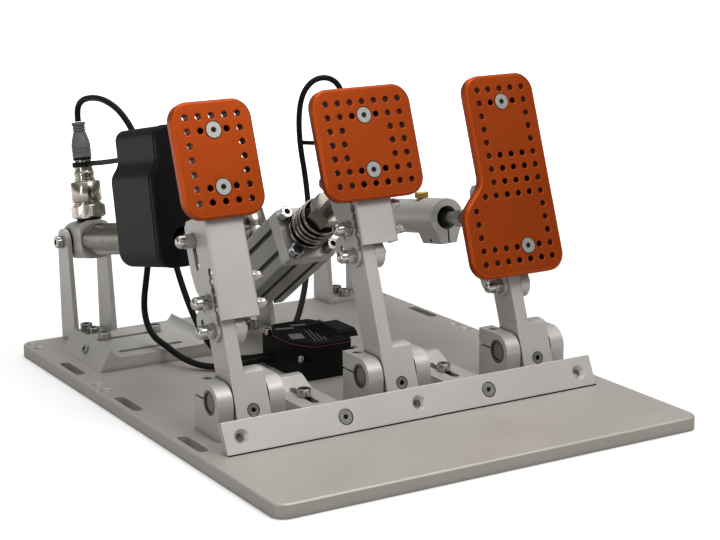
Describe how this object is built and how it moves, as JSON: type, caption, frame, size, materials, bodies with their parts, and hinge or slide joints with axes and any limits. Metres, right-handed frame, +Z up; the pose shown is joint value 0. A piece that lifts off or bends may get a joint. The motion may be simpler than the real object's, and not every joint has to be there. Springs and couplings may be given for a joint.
{
  "type": "sim racing pedal set",
  "caption": "Clutch, brake and throttle levers on a flat base plate, each pressing its own swivelling cylinder with a pressure sensor and a lead to a small controller.",
  "frame": {"origin": "middle of the underside of the base plate", "axes": "+X to the driver's right, +Y away from the driver, +Z up"},
  "size_m": [0.34, 0.4505, 0.2371],
  "materials": {
    "anodised": "satin anodised, natural grey",
    "orange": "satin anodised orange-red",
    "steel": "bright zinc-plated steel",
    "nickel": "polished nickel plating",
    "brass": "turned, uncoated",
    "black_plastic": "fine matte black",
    "grey_plastic": "moulded mid grey",
    "rubber": "smooth black"
  },
  "bodies": {
    "base": {"base_plate": "anodised", "front_rail": "anodised", "rail_screws": "steel", "rail_feet": "anodised", "bearing_blocks": "anodised", "axle_bushes": "black_plastic", "frame_screws": "steel", "rear_block": "anodised", "clutch_support": "anodised", "brake_support": "anodised", "throttle_support": "anodised", "support_screws": "steel", "pivot_spacers": "black_plastic", "controller_case": "black_plastic", "controller_lid": "black_plastic", "clutch_lead": "rubber", "brake_lead": "rubber", "throttle_lead": "rubber"},
    "clutch_pedal": {"clutch_arm": "anodised", "clutch_axle": "steel", "clutch_bracket": "anodised", "clutch_face_plate": "orange", "clutch_spacers": "anodised", "clutch_fasteners": "steel"},
    "clutch_cylinder": {"clutch_tube": "nickel", "clutch_rear_cap": "anodised", "clutch_housing": "black_plastic", "clutch_sensor": "nickel", "clutch_plug": "grey_plastic", "clutch_return_spring": "steel"},
    "clutch_piston": {"clutch_rod": "steel"},
    "brake_pedal": {"brake_arm": "anodised", "brake_axle": "steel", "brake_bracket": "anodised", "brake_face_plate": "orange", "brake_spacers": "anodised", "brake_fasteners": "steel"},
    "brake_cylinder": {"brake_profile": "anodised", "brake_front_cap": "anodised", "brake_rear_cap": "anodised", "brake_cap_screws": "steel", "brake_sensor": "nickel", "brake_plug": "grey_plastic", "brake_bumper": "rubber", "brake_spring": "nickel"},
    "brake_piston": {"brake_rod": "steel"},
    "throttle_pedal": {"throttle_arm": "anodised", "throttle_axle": "steel", "throttle_bracket": "anodised", "throttle_face_plate": "orange", "throttle_spacers": "anodised", "throttle_fasteners": "steel"},
    "throttle_cylinder": {"throttle_tube": "anodised", "throttle_collar": "anodised", "throttle_rear_cap": "anodised", "throttle_sensor": "nickel", "throttle_plug": "grey_plastic", "throttle_bleed_screw": "brass", "throttle_return_spring": "steel"},
    "throttle_piston": {"throttle_rod": "steel"}
  },
  "joints": [
    {"name": "clutch_pedal_hinge", "type": "hinge", "parent": "base", "child": "clutch_pedal", "pos_m": [-0.12, -0.0817, 0.0348], "axis": [-1, 0, 0], "range_deg": [0, 15], "stiffness_Nm_per_rad": 30, "springref_deg": -14.32},
    {"name": "clutch_cylinder_pivot", "type": "hinge", "parent": "base", "child": "clutch_cylinder", "pos_m": [-0.114, 0.2145, 0.0925], "axis": [-1, 0, 0], "range_deg": [-2.11, 0]},
    {"name": "clutch_rod_slide", "type": "slide", "parent": "clutch_cylinder", "child": "clutch_piston", "axis": [0, 0.983, -0.1836], "range_m": [0, 0.02838], "deforming": ["clutch_return_spring"]},
    {"name": "brake_pedal_hinge", "type": "hinge", "parent": "base", "child": "brake_pedal", "pos_m": [0, -0.0817, 0.0348], "axis": [-1, 0, 0], "range_deg": [0, 6], "stiffness_Nm_per_rad": 900, "springref_deg": -1.15},
    {"name": "brake_cylinder_pivot", "type": "hinge", "parent": "base", "child": "brake_cylinder", "pos_m": [0.006, 0.1595, 0.044], "axis": [-1, 0, 0], "range_deg": [0, 0.679]},
    {"name": "brake_rod_slide", "type": "slide", "parent": "brake_cylinder", "child": "brake_piston", "axis": [0, 0.8392, -0.5438], "range_m": [0, 0.01479], "deforming": ["brake_spring", "brake_bumper"]},
    {"name": "throttle_pedal_hinge", "type": "hinge", "parent": "base", "child": "throttle_pedal", "pos_m": [0.12, -0.0817, 0.0348], "axis": [-1, 0, 0], "range_deg": [0, 15], "stiffness_Nm_per_rad": 25, "springref_deg": -14.32},
    {"name": "throttle_cylinder_pivot", "type": "hinge", "parent": "base", "child": "throttle_cylinder", "pos_m": [0.126, 0.2145, 0.088], "axis": [-1, 0, 0], "range_deg": [-2.04, 0]},
    {"name": "throttle_rod_slide", "type": "slide", "parent": "throttle_cylinder", "child": "throttle_piston", "axis": [0, 0.9898, -0.1428], "range_m": [0, 0.02412], "deforming": ["throttle_return_spring"]}
  ],
  "couplings": [
    {"joint": "clutch_cylinder_pivot", "follows": "clutch_pedal_hinge", "ratio": -0.13804},
    {"joint": "clutch_rod_slide", "follows": "clutch_pedal_hinge", "m_per_rad": 0.10734},
    {"joint": "brake_cylinder_pivot", "follows": "brake_pedal_hinge", "ratio": 0.1108},
    {"joint": "brake_rod_slide", "follows": "brake_pedal_hinge", "m_per_rad": 0.13986},
    {"joint": "throttle_cylinder_pivot", "follows": "throttle_pedal_hinge", "ratio": -0.13354},
    {"joint": "throttle_rod_slide", "follows": "throttle_pedal_hinge", "m_per_rad": 0.091203}
  ]
}
